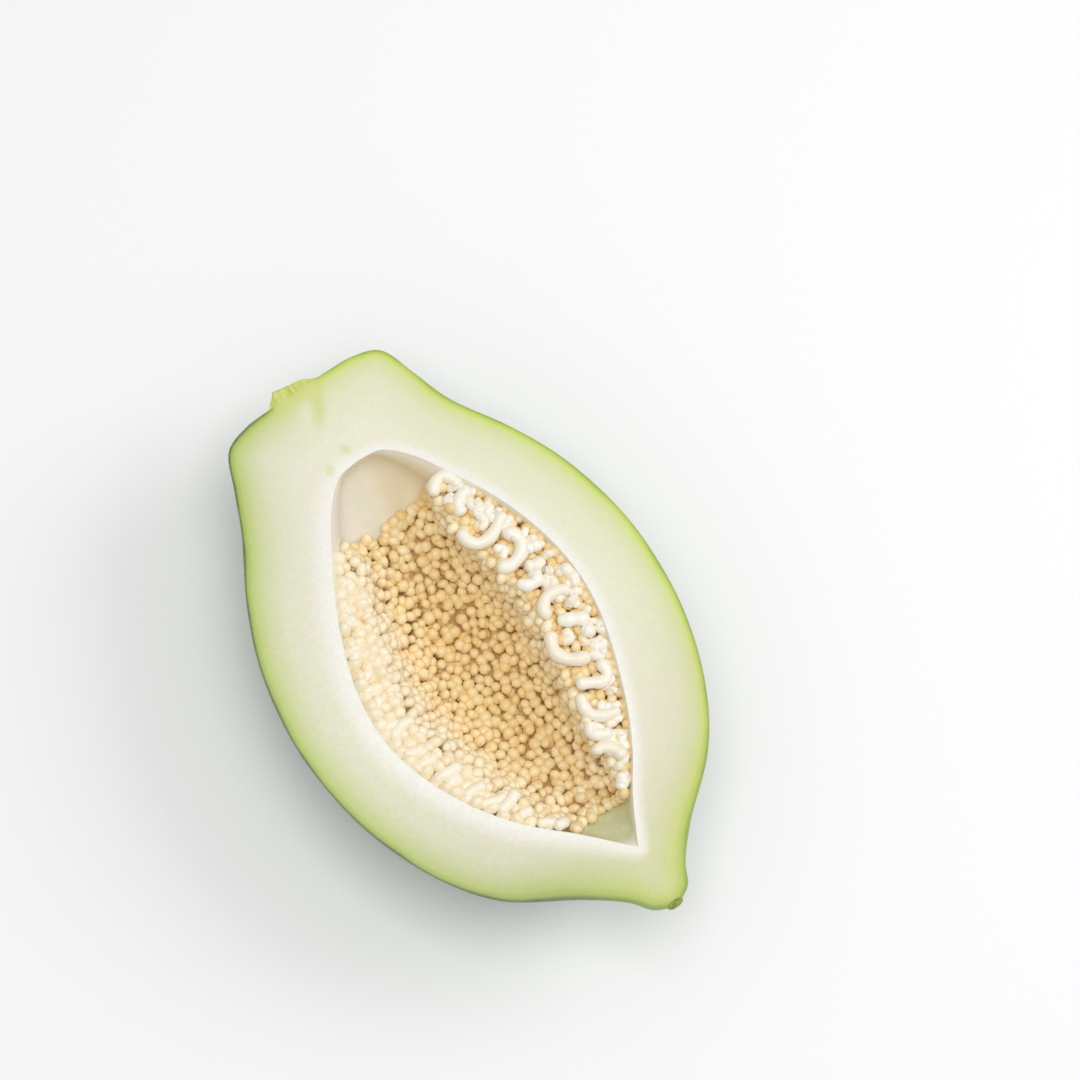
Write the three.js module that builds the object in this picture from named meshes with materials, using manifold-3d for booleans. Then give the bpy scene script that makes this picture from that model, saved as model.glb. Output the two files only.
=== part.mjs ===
// Half of a green papaya, cut lengthwise and lying on its back with the cut face up. It is made of the fruit wall
// (skin and flesh, grown as one), the bed of young seeds that lines the hollow, and the stump of the stalk.
// Millimetres. X runs from the stalk end to the blossom tip, Y across the cut face, and Z up.
import * as THREE from "three";
import { mergeVertices } from "three/addons/utils/BufferGeometryUtils.js";
import Module from "manifold-3d";

const wasm = await Module();
wasm.setup();

// The fruit's outside: [distance from the stalk end, radius] along its axis.
const SKIN_PROFILE = [
  [0, 0], [0, 13], [0.7, 23.4], [4.4, 32.8], [18, 38.8], [32, 44.4], [54, 57.2], [74, 65.9], [98, 71.2],
  [118, 72], [144, 68.4], [170, 58.6], [189, 45.4], [206, 23], [216, 12.2], [223, 7.4], [226.6, 0],
];
// The seed hollow in the middle, measured the same way.
const HOLLOW_PROFILE = [
  [33, 0], [34.5, 9], [43, 18], [55, 25.6], [73, 35.4], [95, 43.1], [113, 45.5],
  [130, 43.6], [153, 35.3], [171, 24.8], [187, 11.3], [202, 0],
];
// How finely the grown bodies are divided, along the axis and round it.
const SKIN_DETAIL = { rings: 40, sides: 50 };
const HOLLOW_DETAIL = { rings: 26, sides: 40 };
const HOLLOW_LINE_POINTS = 400;

// Five carpels give the skin its soft ribs and the hollow its star section, with a furrow under the belly.
const CARPELS = 5;
const RIB_ANGLE = THREE.MathUtils.degToRad(54);
const RIB_SHARE = 0.018;
const HOLLOW_RIB_SHARE = { stalkEnd: 0.13, belly: 0.05 };
const HOLLOW_RIB_FADE = [50, 90];

// The axis isn't straight: both ends of the fruit bend towards the far side, and the hollow bows and sways.
const STALK_BEND = 2.5;
const STALK_BEND_END = 42;
const TIP_BEND = 4.1;
const TIP_BEND_START = 186;
const HOLLOW_BOW = 5.3;
const HOLLOW_SWAY = 1.6;
const REST_CUT = 1.3;

// The seed bed: how much of the hollow's radius it takes up at each side, and where along the fruit it lies.
const BED_SHARE = { bottom: 0.22, far: 0.46, near: 0.3 };
const BED_ENDS = { stalk: [51, 68], tip: [160, 191] };
const BED_GAP = 0.35;
const BED_TOP_DROP = 3;
const BED_EDGE = [0.03, 0.05];
const SPACE_SHARE = 1.04;

// Young seeds stand on the bed as domes in staggered rows, larger than life so that they cover it.
const SEED = { pitch: 7, radius: 3.15, height: 3.6, shift: 0.5, unevenness: 0.3 };
const SHEET_STEP = SEED.pitch / (2 * Math.sqrt(3));
const SHEET_ROW = SEED.pitch / 4;
const SHEET_REACH = { from: 27, to: 208, around: 70, up: 60 };

// Seeds that lie across the rims in the cut plane, in layers, where the knife has sliced them.
const RIM_SEED = { pitch: 7.4, width: 7.8, length: 10, layer: 9, drop: 1.5, shift: 0.9, lean: 0.3 };
const RIM_SEEDS_END = 4;
const DROP_POLE = new THREE.Vector3(0, 1, (1 + Math.sqrt(5)) / 2).normalize();

// The stump that the fruit hung from, broken off close to the shoulder.
const STALK_RADIUS = { base: 10.4, end: 6.2 };
const STALK_LENGTH = 3.6;
const STALK_SLANT = 0.16;
const STALK_CENTRE_Y = 0.9;
const STALK_RIB_SHARE = 0.07;
const STALK_SIDES = 30;
const STALK_RINGS = 3;
const TOUCH_GAP = 0.3;

const COLOURS = { wall: 0x5f8a3c, seeds: 0xead9b4, stalk: 0xb9c05a };
const ROUGHNESS = { wall: 0.45, seeds: 0.35, stalk: 0.7 };
const FAR_OUT = 1000;

const smooth = (low, high, x) => THREE.MathUtils.smoothstep(x, low, high);

// Ribs run the length of the fruit, one to each carpel: +1 on a rib's crest and -1 in the furrow between two.
const ribAt = (angle) => Math.cos(CARPELS * (angle - RIB_ANGLE));

const curveOf = (profile) =>
  new THREE.CatmullRomCurve3(
    profile.map(([x, radius]) => new THREE.Vector3(x, radius, 0)),
    false,
    "centripetal",
  );

// A number between -0.5 and 0.5 that belongs to a whole-numbered place and is the same on every run.
function chanceAt(row, place, draw) {
  const mixed = Math.sin(row * 12.9898 + place * 78.233 + draw * 37.719) * 43758.5453;
  return mixed - Math.floor(mixed) - 0.5;
}

// A three.js geometry as a closed solid, and back.
function solidOf(geometry) {
  const bare = geometry.clone();
  bare.deleteAttribute("normal");
  bare.deleteAttribute("uv");
  const merged = mergeVertices(bare, 1e-3);
  return new wasm.Manifold(
    new wasm.Mesh({
      numProp: 3,
      vertProperties: new Float32Array(merged.attributes.position.array),
      triVerts: new Uint32Array(merged.index.array),
    }),
  );
}

function geometryOf(solid) {
  const mesh = solid.getMesh();
  const geometry = new THREE.BufferGeometry();
  geometry.setAttribute("position", new THREE.BufferAttribute(mesh.vertProperties, 3));
  geometry.setIndex(new THREE.BufferAttribute(mesh.triVerts, 1));
  geometry.computeVertexNormals();
  return geometry;
}

// A body grown round the X axis: a sphere's rings moved onto a profile. radiusAt(x, radius, angle) shapes each
// ring, bowAt(x) bends it sideways, and the angle runs from the far side (+Y) down through the bottom.
function grownBody(curve, { rings, sides }, radiusAt, bowAt) {
  const geometry = new THREE.SphereGeometry(1, sides, rings);
  const { position, uv } = geometry.attributes;
  for (let i = 0; i < position.count; i++) {
    const { x, y: radius } = curve.getPointAt(1 - uv.getY(i));
    const angle = uv.getX(i) * 2 * Math.PI;
    const r = radiusAt(x, radius, angle);
    position.setXYZ(i, x, bowAt(x) + r * Math.cos(angle), -r * Math.sin(angle));
  }
  return solidOf(geometry);
}

const skinCurve = curveOf(SKIN_PROFILE);
const hollowCurve = curveOf(HOLLOW_PROFILE);

function skinBow(x) {
  const [tip] = SKIN_PROFILE.at(-1);
  return STALK_BEND * (1 - smooth(0, STALK_BEND_END, x)) + TIP_BEND * smooth(TIP_BEND_START, tip, x);
}

function skinRadius(x, radius, angle) {
  return radius * (1 + RIB_SHARE * ribAt(angle));
}

// The hollow bows towards the far side at both ends and sways about that, stalk half one way and tip half the other.
function hollowBow(x) {
  const [start] = HOLLOW_PROFILE[0];
  const [end] = HOLLOW_PROFILE.at(-1);
  const fromMiddle = (2 * x - start - end) / (end - start);
  return HOLLOW_BOW * fromMiddle ** 2 - HOLLOW_SWAY * Math.sin(Math.PI * fromMiddle);
}

// The hollow is starriest at its bare stalk end.
function hollowRadius(x, radius, angle) {
  const { stalkEnd, belly } = HOLLOW_RIB_SHARE;
  const share = THREE.MathUtils.lerp(stalkEnd, belly, smooth(...HOLLOW_RIB_FADE, x));
  return radius * (1 + share * ribAt(angle));
}

// The bed's thickness as a share of the hollow's radius: thick under the far rim, thin below, none at the ends.
function bedShare(x, angle) {
  const side = Math.cos(angle);
  const rim = side > 0 ? BED_SHARE.far : BED_SHARE.near;
  const share = THREE.MathUtils.lerp(BED_SHARE.bottom, rim, Math.abs(side) ** 1.5);
  return share * smooth(...BED_ENDS.stalk, x) * (1 - smooth(...BED_ENDS.tip, x));
}

// The free space over the bed. Past the bed's ends it stands outside the hollow's wall, which leaves that bare.
function spaceRadius(x, radius, angle) {
  return hollowRadius(x, radius, angle) * SPACE_SHARE * (1 - bedShare(x, angle));
}

const onSection = (x, r, angle) =>
  new THREE.Vector3(x, hollowBow(x) + r * Math.cos(angle), -r * Math.sin(angle));

function slab(low, high) {
  const box = new THREE.BoxGeometry(FAR_OUT, FAR_OUT, high - low);
  return solidOf(box.translate(0, 0, (low + high) / 2));
}

// The flat spot lies a little inside the furrow under the belly.
const restDepth = Math.max(...SKIN_PROFILE.map(([, radius]) => radius)) * (1 - RIB_SHARE) - REST_CUT;

function fruitWall() {
  const fruit = grownBody(skinCurve, SKIN_DETAIL, skinRadius, skinBow);
  const hollow = grownBody(hollowCurve, HOLLOW_DETAIL, hollowRadius, hollowBow);
  return fruit.intersect(slab(-restDepth, 0)).subtract(hollow);
}

const hollowLine = hollowCurve.getPoints(HOLLOW_LINE_POINTS);

function hollowProfileAt(x) {
  const next = hollowLine.findIndex((point) => point.x > x);
  if (next < 1) return 0;
  const [before, after] = [hollowLine[next - 1], hollowLine[next]];
  return THREE.MathUtils.mapLinear(x, before.x, after.x, before.y, after.y);
}

// The seed nearest to a place on the bed: its row, its place in the row, and how far off its middle is.
function nearestSeed(along, around) {
  const rowGap = (SEED.pitch * Math.sqrt(3)) / 2;
  const below = Math.floor(along / rowGap);
  const [nearest] = [below, below + 1]
    .map((row) => {
      const stagger = row % 2 ? 0.5 : 0;
      const place = Math.round(around / SEED.pitch - stagger);
      const away = Math.hypot(along - row * rowGap, around - (place + stagger) * SEED.pitch);
      return { row, place, away };
    })
    .sort((one, other) => one.away - other.away);
  return nearest;
}

// A place on the fine sheet over the bed, raised into a seed where one stands. The sheet follows the arc of the
// free space from the bottom out to both rims, and runs on from there straight up and out.
function onSheet(along, around) {
  const radius = hollowProfileAt(along);
  const arcRadius = Math.max(radius * (1 - BED_SHARE.bottom), 0.01);
  const { row, place, away } = nearestSeed(along, around);
  const inSeed = away < SEED.radius ? 1 : 0;
  const x = along + inSeed * SEED.shift * chanceAt(row, place, 1);
  const arc = (around + inSeed * SEED.shift * chanceAt(row, place, 2)) / arcRadius;
  const turn = THREE.MathUtils.clamp(arc, -Math.PI / 2, Math.PI / 2);
  const angle = Math.PI / 2 - turn;
  const dome = Math.sqrt(Math.max(0, 1 - (away / SEED.radius) ** 2));
  const height = SEED.height * (1 + SEED.unevenness * chanceAt(row, place, 3)) * dome;
  const onBed = smooth(...BED_EDGE, bedShare(x, angle));
  const point = onSection(x, spaceRadius(x, radius, angle) - onBed * height, angle);
  const past = (arc - turn) * arcRadius;
  return point.add(new THREE.Vector3(0, past, Math.abs(past)));
}

// The free space over the bed as a closed body, with that sheet below and a plain lid above. Every other row of
// the sheet is shifted by half a step, and its cells are split the short way, so that all triangles are alike.
function freeSpace() {
  const { from, to, around, up } = SHEET_REACH;
  const columns = Math.ceil((to - from) / SHEET_STEP);
  const rows = 2 * Math.ceil(around / SHEET_ROW);
  const geometry = new THREE.BoxGeometry(columns, rows, 1, columns, rows, 1);
  const { position } = geometry.attributes;
  const isShifted = (i) => Math.abs(position.getY(i)) % 2 === 1;
  const index = [];
  for (let cell = 0; cell < geometry.index.count; cell += 6) {
    const [a, b, d, , c] = geometry.index.array.slice(cell, cell + 6);
    index.push(...(isShifted(a) ? [a, b, d, b, c, d] : [a, b, c, a, c, d]));
  }
  geometry.setIndex(index);
  const first = Math.round(from / SHEET_STEP) + columns / 2;
  const places = Array.from({ length: position.count }, (_, i) => {
    const along = (first + position.getX(i) + (isShifted(i) ? 0.5 : 0)) * SHEET_STEP;
    const across = position.getY(i) * SHEET_ROW;
    return position.getZ(i) < 0 ? onSheet(along, across) : new THREE.Vector3(along, across, up);
  });
  places.forEach(({ x, y, z }, i) => position.setXYZ(i, x, y, z));
  return solidOf(geometry);
}

// A seed cut loose from the rows: a small drop about the centre given, its long axis along the direction given.
function looseSeed(centre, direction, { length, width }) {
  const up = new THREE.Vector3(0, 0, 1);
  const onEnd = new THREE.Quaternion().setFromUnitVectors(DROP_POLE, up);
  const turn = new THREE.Quaternion().setFromUnitVectors(up, direction);
  const size = new THREE.Vector3(width, width, length);
  const drop = new THREE.IcosahedronGeometry(0.5).applyQuaternion(onEnd);
  return solidOf(drop.applyMatrix4(new THREE.Matrix4().compose(centre, turn, size)));
}

function rimSeeds() {
  const { pitch, layer: layerDepth, drop, shift, lean } = RIM_SEED;
  const [from] = BED_ENDS.stalk;
  const [, to] = BED_ENDS.tip;
  const stations = Math.floor((to - from - 2 * RIM_SEEDS_END) / pitch);
  return Array.from({ length: stations }, (_, row) => {
    const x = from + RIM_SEEDS_END + row * pitch;
    const radius = hollowProfileAt(x);
    return [0, Math.PI].flatMap((angle) => {
      const inner = spaceRadius(x, radius, angle);
      const layers = Math.round((hollowRadius(x, radius, angle) - inner) / layerDepth);
      return Array.from({ length: layers }, (_, layer) => {
        const along = x + (layer % 2) * 0.5 * pitch + shift * chanceAt(row, layer, angle);
        const across = new THREE.Vector3(lean * chanceAt(row, layer, angle + 1), 1, 0).normalize();
        const centre = onSection(along, inner + (layer + 0.5) * layerDepth, angle).setZ(-drop);
        return looseSeed(centre, across, RIM_SEED);
      });
    });
  }).flat();
}

function seedBed() {
  const insideWall = (x, radius, angle) => Math.max(0, hollowRadius(x, radius, angle) - BED_GAP);
  const hollow = grownBody(hollowCurve, HOLLOW_DETAIL, insideWall, hollowBow);
  const core = hollow.intersect(slab(-restDepth, -BED_TOP_DROP)).subtract(freeSpace());
  const whole = wasm.Manifold.union([core, ...rimSeeds()]).intersect(hollow).intersect(slab(-restDepth, 0));
  const bodies = whole.decompose();
  return bodies.reduce((largest, body) => (body.volume() > largest.volume() ? body : largest));
}

// The stump is ribbed like the fruit, narrows outwards, and its broken end slants.
function stalkStump() {
  const { base, end } = STALK_RADIUS;
  const stump = new THREE.CylinderGeometry(end, base, STALK_LENGTH, STALK_SIDES, STALK_RINGS);
  stump.rotateZ(Math.PI / 2).translate(-STALK_LENGTH / 2 - TOUCH_GAP, 0, 0);
  const { position } = stump.attributes;
  for (let i = 0; i < position.count; i++) {
    const angle = Math.atan2(-position.getZ(i), position.getY(i));
    const swell = 1 + STALK_RIB_SHARE * ribAt(angle);
    const x = position.getX(i);
    const reach = (-x - TOUCH_GAP) / STALK_LENGTH;
    const y = position.getY(i) * swell;
    position.setXYZ(i, x + reach * y * STALK_SLANT, STALK_CENTRE_Y + y, position.getZ(i) * swell);
  }
  return solidOf(stump).intersect(slab(-restDepth, 0));
}

function named(name, solid, color, roughness) {
  const mesh = new THREE.Mesh(geometryOf(solid), new THREE.MeshStandardMaterial({ color, roughness, metalness: 0 }));
  mesh.name = name;
  return mesh;
}

const papaya = new THREE.Group();
papaya.add(
  named("fruit_wall", fruitWall(), COLOURS.wall, ROUGHNESS.wall),
  named("seed_bed", seedBed(), COLOURS.seeds, ROUGHNESS.seeds),
  named("stalk_stump", stalkStump(), COLOURS.stalk, ROUGHNESS.stalk),
);

// The half stands on the flat spot under its belly, with the middle of its outline over the origin.
const middle = new THREE.Box3().setFromObject(papaya).getCenter(new THREE.Vector3());
papaya.position.set(-middle.x, -middle.y, restDepth);

export default papaya;
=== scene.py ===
import bisect
import math
import random

import bpy
from mathutils import Matrix, Vector
from mathutils.kdtree import KDTree


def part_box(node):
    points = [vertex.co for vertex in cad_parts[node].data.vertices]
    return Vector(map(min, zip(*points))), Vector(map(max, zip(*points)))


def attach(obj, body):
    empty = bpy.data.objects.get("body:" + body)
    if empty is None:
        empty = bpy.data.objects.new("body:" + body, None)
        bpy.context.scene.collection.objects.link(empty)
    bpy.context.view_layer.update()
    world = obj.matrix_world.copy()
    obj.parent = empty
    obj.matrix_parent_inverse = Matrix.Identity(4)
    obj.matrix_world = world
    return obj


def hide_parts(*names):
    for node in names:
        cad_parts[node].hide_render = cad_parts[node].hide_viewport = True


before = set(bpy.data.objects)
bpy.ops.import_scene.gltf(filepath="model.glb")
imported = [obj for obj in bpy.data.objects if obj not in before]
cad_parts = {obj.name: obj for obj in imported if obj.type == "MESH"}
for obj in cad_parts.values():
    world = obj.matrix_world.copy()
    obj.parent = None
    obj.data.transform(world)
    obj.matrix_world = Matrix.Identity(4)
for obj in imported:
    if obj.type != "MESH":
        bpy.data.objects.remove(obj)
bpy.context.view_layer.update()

# Fruit wall
# Rind and flesh grew as one thick wall round the seed hollow. A knife parted it lengthwise, so
# the cut face shows the thin green rind, the flesh paling inwards and the hollow's white skin.
MM = 0.001
# Each row is a distance from the stalk end and the radius there, in millimetres.
SKIN_PROFILE = [
    (0, 0), (0, 13), (0.7, 23.4), (4.4, 32.8), (18, 38.8), (32, 44.4), (54, 57.2), (74, 65.9), (98, 71.2),
    (118, 72), (144, 68.4), (170, 58.6), (189, 45.4), (206, 23), (216, 12.2), (223, 7.4), (226.6, 0),
]
HOLLOW_PROFILE = [
    (33, 0), (34.5, 9), (43, 18), (55, 25.6), (73, 35.4), (95, 43.1), (113, 45.5),
    (130, 43.6), (153, 35.3), (171, 24.8), (187, 11.3), (202, 0),
]
FRUIT_LENGTH = SKIN_PROFILE[-1][0]
HOLLOW_ENDS = (HOLLOW_PROFILE[0][0], HOLLOW_PROFILE[-1][0])
CARPELS = 5
RIB_TURN = math.radians(54)
SKIN_RIB = 0.018
# How much of the round belly the flat resting spot takes off.
REST_FLAT = 1.3
REST_DEPTH = max(radius for _, radius in SKIN_PROFILE) * (1 - SKIN_RIB) - REST_FLAT
# The hollow's ribs are stronger before the first of these places and weaker after the second.
HOLLOW_RIBS = (0.13, 0.05)
HOLLOW_RIB_PLACES = (50, 90)
# How far the fruit's axis bends at each end, and how far in the bend reaches.
STALK_BOW, STALK_BOW_END = 2.5, 42
TIP_BOW, TIP_BOW_START = 4.1, 186
HOLLOW_BOW, HOLLOW_SWAY = 5.3, 1.6
# The stalk's tissue where it meets the fruit: its middle, its reach to each side and its depth.
STALK_Y, STALK_REACH, STALK_DEPTH = 0.9, 9.5, 0.4
SKIN_GRID = (220, 110)
HOLLOW_GRID = (220, 72)
CUT_GRID = (220, 18)
CUT_SPREAD = 1.5
LINE_STEPS = 24
OUTLINE_STEPS = 1600
MERGE_DISTANCE = 0.02 * MM
SHARP_EDGE = math.radians(40)
GRAIN_DEPTH = 0.4 * MM

wall_low, wall_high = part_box("fruit_wall")
AXIS_START = wall_low[0]
AXIS_Y = (wall_low[1] + wall_high[1]) / 2
CUT_HEIGHT = wall_high[2]


def to_row(x, y, z):
    """The place in metres of x along the fruit, y to the far side and z above the cut, in millimetres."""
    return Vector((AXIS_START + x * MM, AXIS_Y + y * MM, CUT_HEIGHT + z * MM))


def smooth(start, end, value):
    """0 before start, 1 after end, and an even curve between them."""
    share = min(max((value - start) / (end - start), 0), 1)
    return share * share * (3 - 2 * share)


def bend_point(corners, gaps, share):
    """A point of the smooth line between the two middle ones of four corners."""
    before, here, after = gaps
    point = []
    for a, b, c, d in zip(*corners):
        leave = ((b - a) / before - (c - a) / (before + here) + (c - b) / here) * here
        reach = ((c - b) / here - (d - b) / (here + after) + (d - c) / after) * here
        step = c - b
        point.append(
            b + share * (leave + share * (3 * step - 2 * leave - reach + share * (leave + reach - 2 * step)))
        )
    return point


def measured_line(points):
    """A smooth line through points, as rows of the share of its length and the point reached there."""
    before = [2 * a - b for a, b in zip(points[0], points[1])]
    after = [2 * a - b for a, b in zip(points[-1], points[-2])]
    chain = [before, *points, after]
    line = []
    for corners in zip(chain, chain[1:], chain[2:], chain[3:]):
        gaps = [math.sqrt(math.dist(a, b)) for a, b in zip(corners, corners[1:])]
        line += [bend_point(corners, gaps, step / LINE_STEPS) for step in range(LINE_STEPS)]
    line.append(points[-1])
    lengths = [0]
    for a, b in zip(line, line[1:]):
        lengths.append(lengths[-1] + math.dist(a, b))
    return [[length / lengths[-1], *point] for length, point in zip(lengths, line)]


def row_where(rows, column, value):
    """The row where a column reaches value, read between its neighbours."""
    index = bisect.bisect_left(rows, value, key=lambda row: row[column])
    index = min(max(index, 1), len(rows) - 1)
    low, high = rows[index - 1], rows[index]
    share = (value - low[column]) / max(high[column] - low[column], 1e-9)
    share = min(max(share, 0), 1)
    return [a + (b - a) * share for a, b in zip(low, high)]


skin_rows = measured_line(SKIN_PROFILE)
hollow_rows = measured_line(HOLLOW_PROFILE)


def rib_at(angle):
    """Between -1 in a furrow and 1 on a rib. The angle goes from the far side, 0, under the fruit."""
    return math.cos(CARPELS * (angle - RIB_TURN))


def skin_bow(x):
    """How far the fruit's axis bends towards the far side at its two ends."""
    return STALK_BOW * (1 - smooth(0, STALK_BOW_END, x)) + TIP_BOW * smooth(TIP_BOW_START, FRUIT_LENGTH, x)


def hollow_bow(x):
    """How far the hollow's axis bends towards the far side."""
    place = (2 * x - HOLLOW_ENDS[0] - HOLLOW_ENDS[1]) / (HOLLOW_ENDS[1] - HOLLOW_ENDS[0])
    return HOLLOW_BOW * place**2 - HOLLOW_SWAY * math.sin(math.pi * place)


def hollow_radius(x, angle):
    """The hollow's radius in millimetres, with its five ribs."""
    share = HOLLOW_RIBS[0] + (HOLLOW_RIBS[1] - HOLLOW_RIBS[0]) * smooth(*HOLLOW_RIB_PLACES, x)
    return row_where(hollow_rows, 1, x)[2] * (1 + share * rib_at(angle))


def hollow_point(x, radius, angle):
    """A point of the section at x, that far from the hollow's axis."""
    return to_row(x, hollow_bow(x) + radius * math.cos(angle), -radius * math.sin(angle))


def skin_place(u, v):
    """The outside at share u from stalk to tip and share v of the half turn."""
    _, x, radius = row_where(skin_rows, 0, u)
    angle = math.pi * v
    radius *= 1 + SKIN_RIB * rib_at(angle)
    height = max(-radius * math.sin(angle), -REST_DEPTH)
    return to_row(x, skin_bow(x) + radius * math.cos(angle), height)


def hollow_place(u, v):
    """The hollow's wall at share u of its length and share v of the half turn."""
    x = row_where(hollow_rows, 0, u)[1]
    angle = math.pi * v
    return hollow_point(x, hollow_radius(x, angle), angle)


def far_cut_place(u, v):
    """The cut face on the far side, from the rind inwards."""
    return skin_place(u, 0).lerp(hollow_place(u, 0), v**CUT_SPREAD)


def near_cut_place(u, v):
    """The cut face on the near side."""
    return skin_place(u, 1).lerp(hollow_place(u, 1), v**CUT_SPREAD)


def patch(name, grid, place):
    """A grid whose points sit where place(u, v) says, with u and v from 0 to 1."""
    bpy.ops.object.select_all(action="DESELECT")
    bpy.ops.mesh.primitive_grid_add(x_subdivisions=grid[0], y_subdivisions=grid[1], size=1)
    piece = bpy.context.object
    piece.name = name
    for vertex in piece.data.vertices:
        vertex.co = place(vertex.co.x + 0.5, vertex.co.y + 0.5)
    return piece


def join(name, parts):
    """Makes one object of the parts."""
    bpy.ops.object.select_all(action="DESELECT")
    for part in parts:
        part.select_set(True)
    bpy.context.view_layer.objects.active = parts[0]
    bpy.ops.object.join()
    parts[0].name = name
    parts[0].data.name = name
    return parts[0]


def weld(piece):
    """Merges doubled points and turns every face outwards."""
    bpy.ops.object.select_all(action="DESELECT")
    piece.select_set(True)
    bpy.context.view_layer.objects.active = piece
    bpy.ops.object.mode_set(mode="EDIT")
    bpy.ops.mesh.select_all(action="SELECT")
    bpy.ops.mesh.remove_doubles(threshold=MERGE_DISTANCE)
    bpy.ops.mesh.normals_make_consistent(inside=False)
    bpy.ops.object.mode_set(mode="OBJECT")


def finish_piece(piece, slot, *nodes):
    """Smooths the piece, ties it to the part's body and hides the solids it stands for."""
    bpy.ops.object.select_all(action="DESELECT")
    piece.select_set(True)
    bpy.context.view_layer.objects.active = piece
    bpy.ops.object.shade_smooth_by_angle(angle=SHARP_EDGE)
    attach(piece, "root")
    if nodes:
        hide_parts(*nodes)


def colour(code):
    """A hex colour as the linear red, green, blue and alpha that a socket takes."""
    channels = [int(code[i:i + 2], 16) / 255 for i in (0, 2, 4)]
    linear = [c / 12.92 if c <= 0.04045 else ((c + 0.055) / 1.055) ** 2.4 for c in channels]
    return (*linear, 1)


def add(tree, kind, inputs=None, **settings):
    """Adds a node, with each input given a value or joined to another node's socket."""
    node = tree.nodes.new(kind)
    for name, value in settings.items():
        setattr(node, name, value)
    for name, value in (inputs or {}).items():
        if isinstance(value, bpy.types.NodeSocket):
            tree.links.new(value, node.inputs[name])
        else:
            node.inputs[name].default_value = value
    return node


def mix(tree, share, first, second, mode="MIX"):
    """The colour between two colours."""
    node = add(tree, "ShaderNodeMix", {0: share, 6: first, 7: second}, data_type="RGBA", blend_type=mode)
    return node.outputs[2]


def fade(tree, value, start, end, low=0.0, high=1.0):
    """Low where value is at start, high where it is at end, smoothly between."""
    inputs = {"Value": value, "From Min": start, "From Max": end, "To Min": low, "To Max": high}
    return add(tree, "ShaderNodeMapRange", inputs, interpolation_type="SMOOTHSTEP").outputs[0]


def ramp(tree, value, *stops):
    """A colour ramp, with each stop a place from 0 to 1 and a hex colour."""
    node = add(tree, "ShaderNodeValToRGB", {"Fac": value})
    elements = node.color_ramp.elements
    while len(elements) < len(stops):
        elements.new(0.5)
    for element, (place, code) in zip(elements, stops):
        element.position = place
        element.color = colour(code)
    return node.outputs["Color"]


def attribute(tree, name):
    """A number kept on the piece's points."""
    return add(tree, "ShaderNodeAttribute", attribute_name=name).outputs["Fac"]


def object_place(tree):
    """The point's own place on the piece."""
    return add(tree, "ShaderNodeTexCoord").outputs["Object"]


def noise(tree, vector, scale, detail=3.0, roughness=0.5):
    """Soft noise from 0 to 1."""
    inputs = {"Vector": vector, "Scale": scale, "Detail": detail, "Roughness": roughness}
    return add(tree, "ShaderNodeTexNoise", inputs).outputs["Fac"]


def start_material(name, **values):
    """A material whose shader has these fixed values, and its node tree and shader."""
    material = bpy.data.materials.new(name)
    material.use_nodes = True
    shader = material.node_tree.nodes["Principled BSDF"]
    for key, value in values.items():
        shader.inputs[key.replace("_", " ")].default_value = value
    return material, material.node_tree, shader


def moist_grain_group():
    """Fine cells of wet plant tissue: a mask of paler and darker cells, and the normal of their relief."""
    group = bpy.data.node_groups.new("moist_grain", "ShaderNodeTree")
    group.interface.new_socket("Cell Scale", in_out="INPUT", socket_type="NodeSocketFloat")
    group.interface.new_socket("Relief", in_out="INPUT", socket_type="NodeSocketFloat")
    group.interface.new_socket("Mask", in_out="OUTPUT", socket_type="NodeSocketFloat")
    group.interface.new_socket("Normal", in_out="OUTPUT", socket_type="NodeSocketVector")
    ends = add(group, "NodeGroupInput")
    result = add(group, "NodeGroupOutput")
    place = object_place(group)
    cells = noise(group, place, ends.outputs["Cell Scale"], 4.0, 0.6)
    inputs = {"Strength": ends.outputs["Relief"], "Distance": GRAIN_DEPTH, "Height": cells}
    bump = add(group, "ShaderNodeBump", inputs)
    group.links.new(cells, result.inputs["Mask"])
    group.links.new(bump.outputs["Normal"], result.inputs["Normal"])
    return group


moist_grain = moist_grain_group()


def grain(tree, scale, relief):
    """The moist grain at this scale, as its mask and normal."""
    node = tree.nodes.new("ShaderNodeGroup")
    node.node_tree = moist_grain
    node.inputs["Cell Scale"].default_value = scale
    node.inputs["Relief"].default_value = relief
    return node.outputs["Mask"], node.outputs["Normal"]


def skin_material():
    """Waxy green rind, mottled darker and paler, with faint streaks along the fruit and small specks."""
    material, tree, shader = start_material(
        "papaya_skin", Roughness=0.4, Coat_Weight=0.25, Coat_Roughness=0.3,
    )
    place = object_place(tree)
    blotches = noise(tree, place, 26.0, 4.0, 0.6)
    lengthwise = add(tree, "ShaderNodeMapping", {"Vector": place, "Scale": (0.22, 1.0, 1.0)}).outputs[0]
    streaks = noise(tree, lengthwise, 120.0, 3.0)
    base = ramp(tree, blotches, (0.3, "264f1c"), (0.52, "3c6b33"), (0.72, "5f8b50"))
    streaked = mix(tree, fade(tree, streaks, 0.45, 0.75, 0.0, 0.35), base, colour("7fa56c"))
    specks = add(tree, "ShaderNodeTexVoronoi", {"Vector": place, "Scale": 420.0}).outputs["Distance"]
    speckled = mix(tree, fade(tree, specks, 0.14, 0.07, 0.0, 0.25), streaked, colour("9fbf86"))
    _, normal = grain(tree, 900.0, 0.12)
    tree.links.new(speckled, shader.inputs["Base Color"])
    tree.links.new(fade(tree, blotches, 0.3, 0.7, 0.34, 0.5), shader.inputs["Roughness"])
    tree.links.new(normal, shader.inputs["Normal"])
    return material


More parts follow.
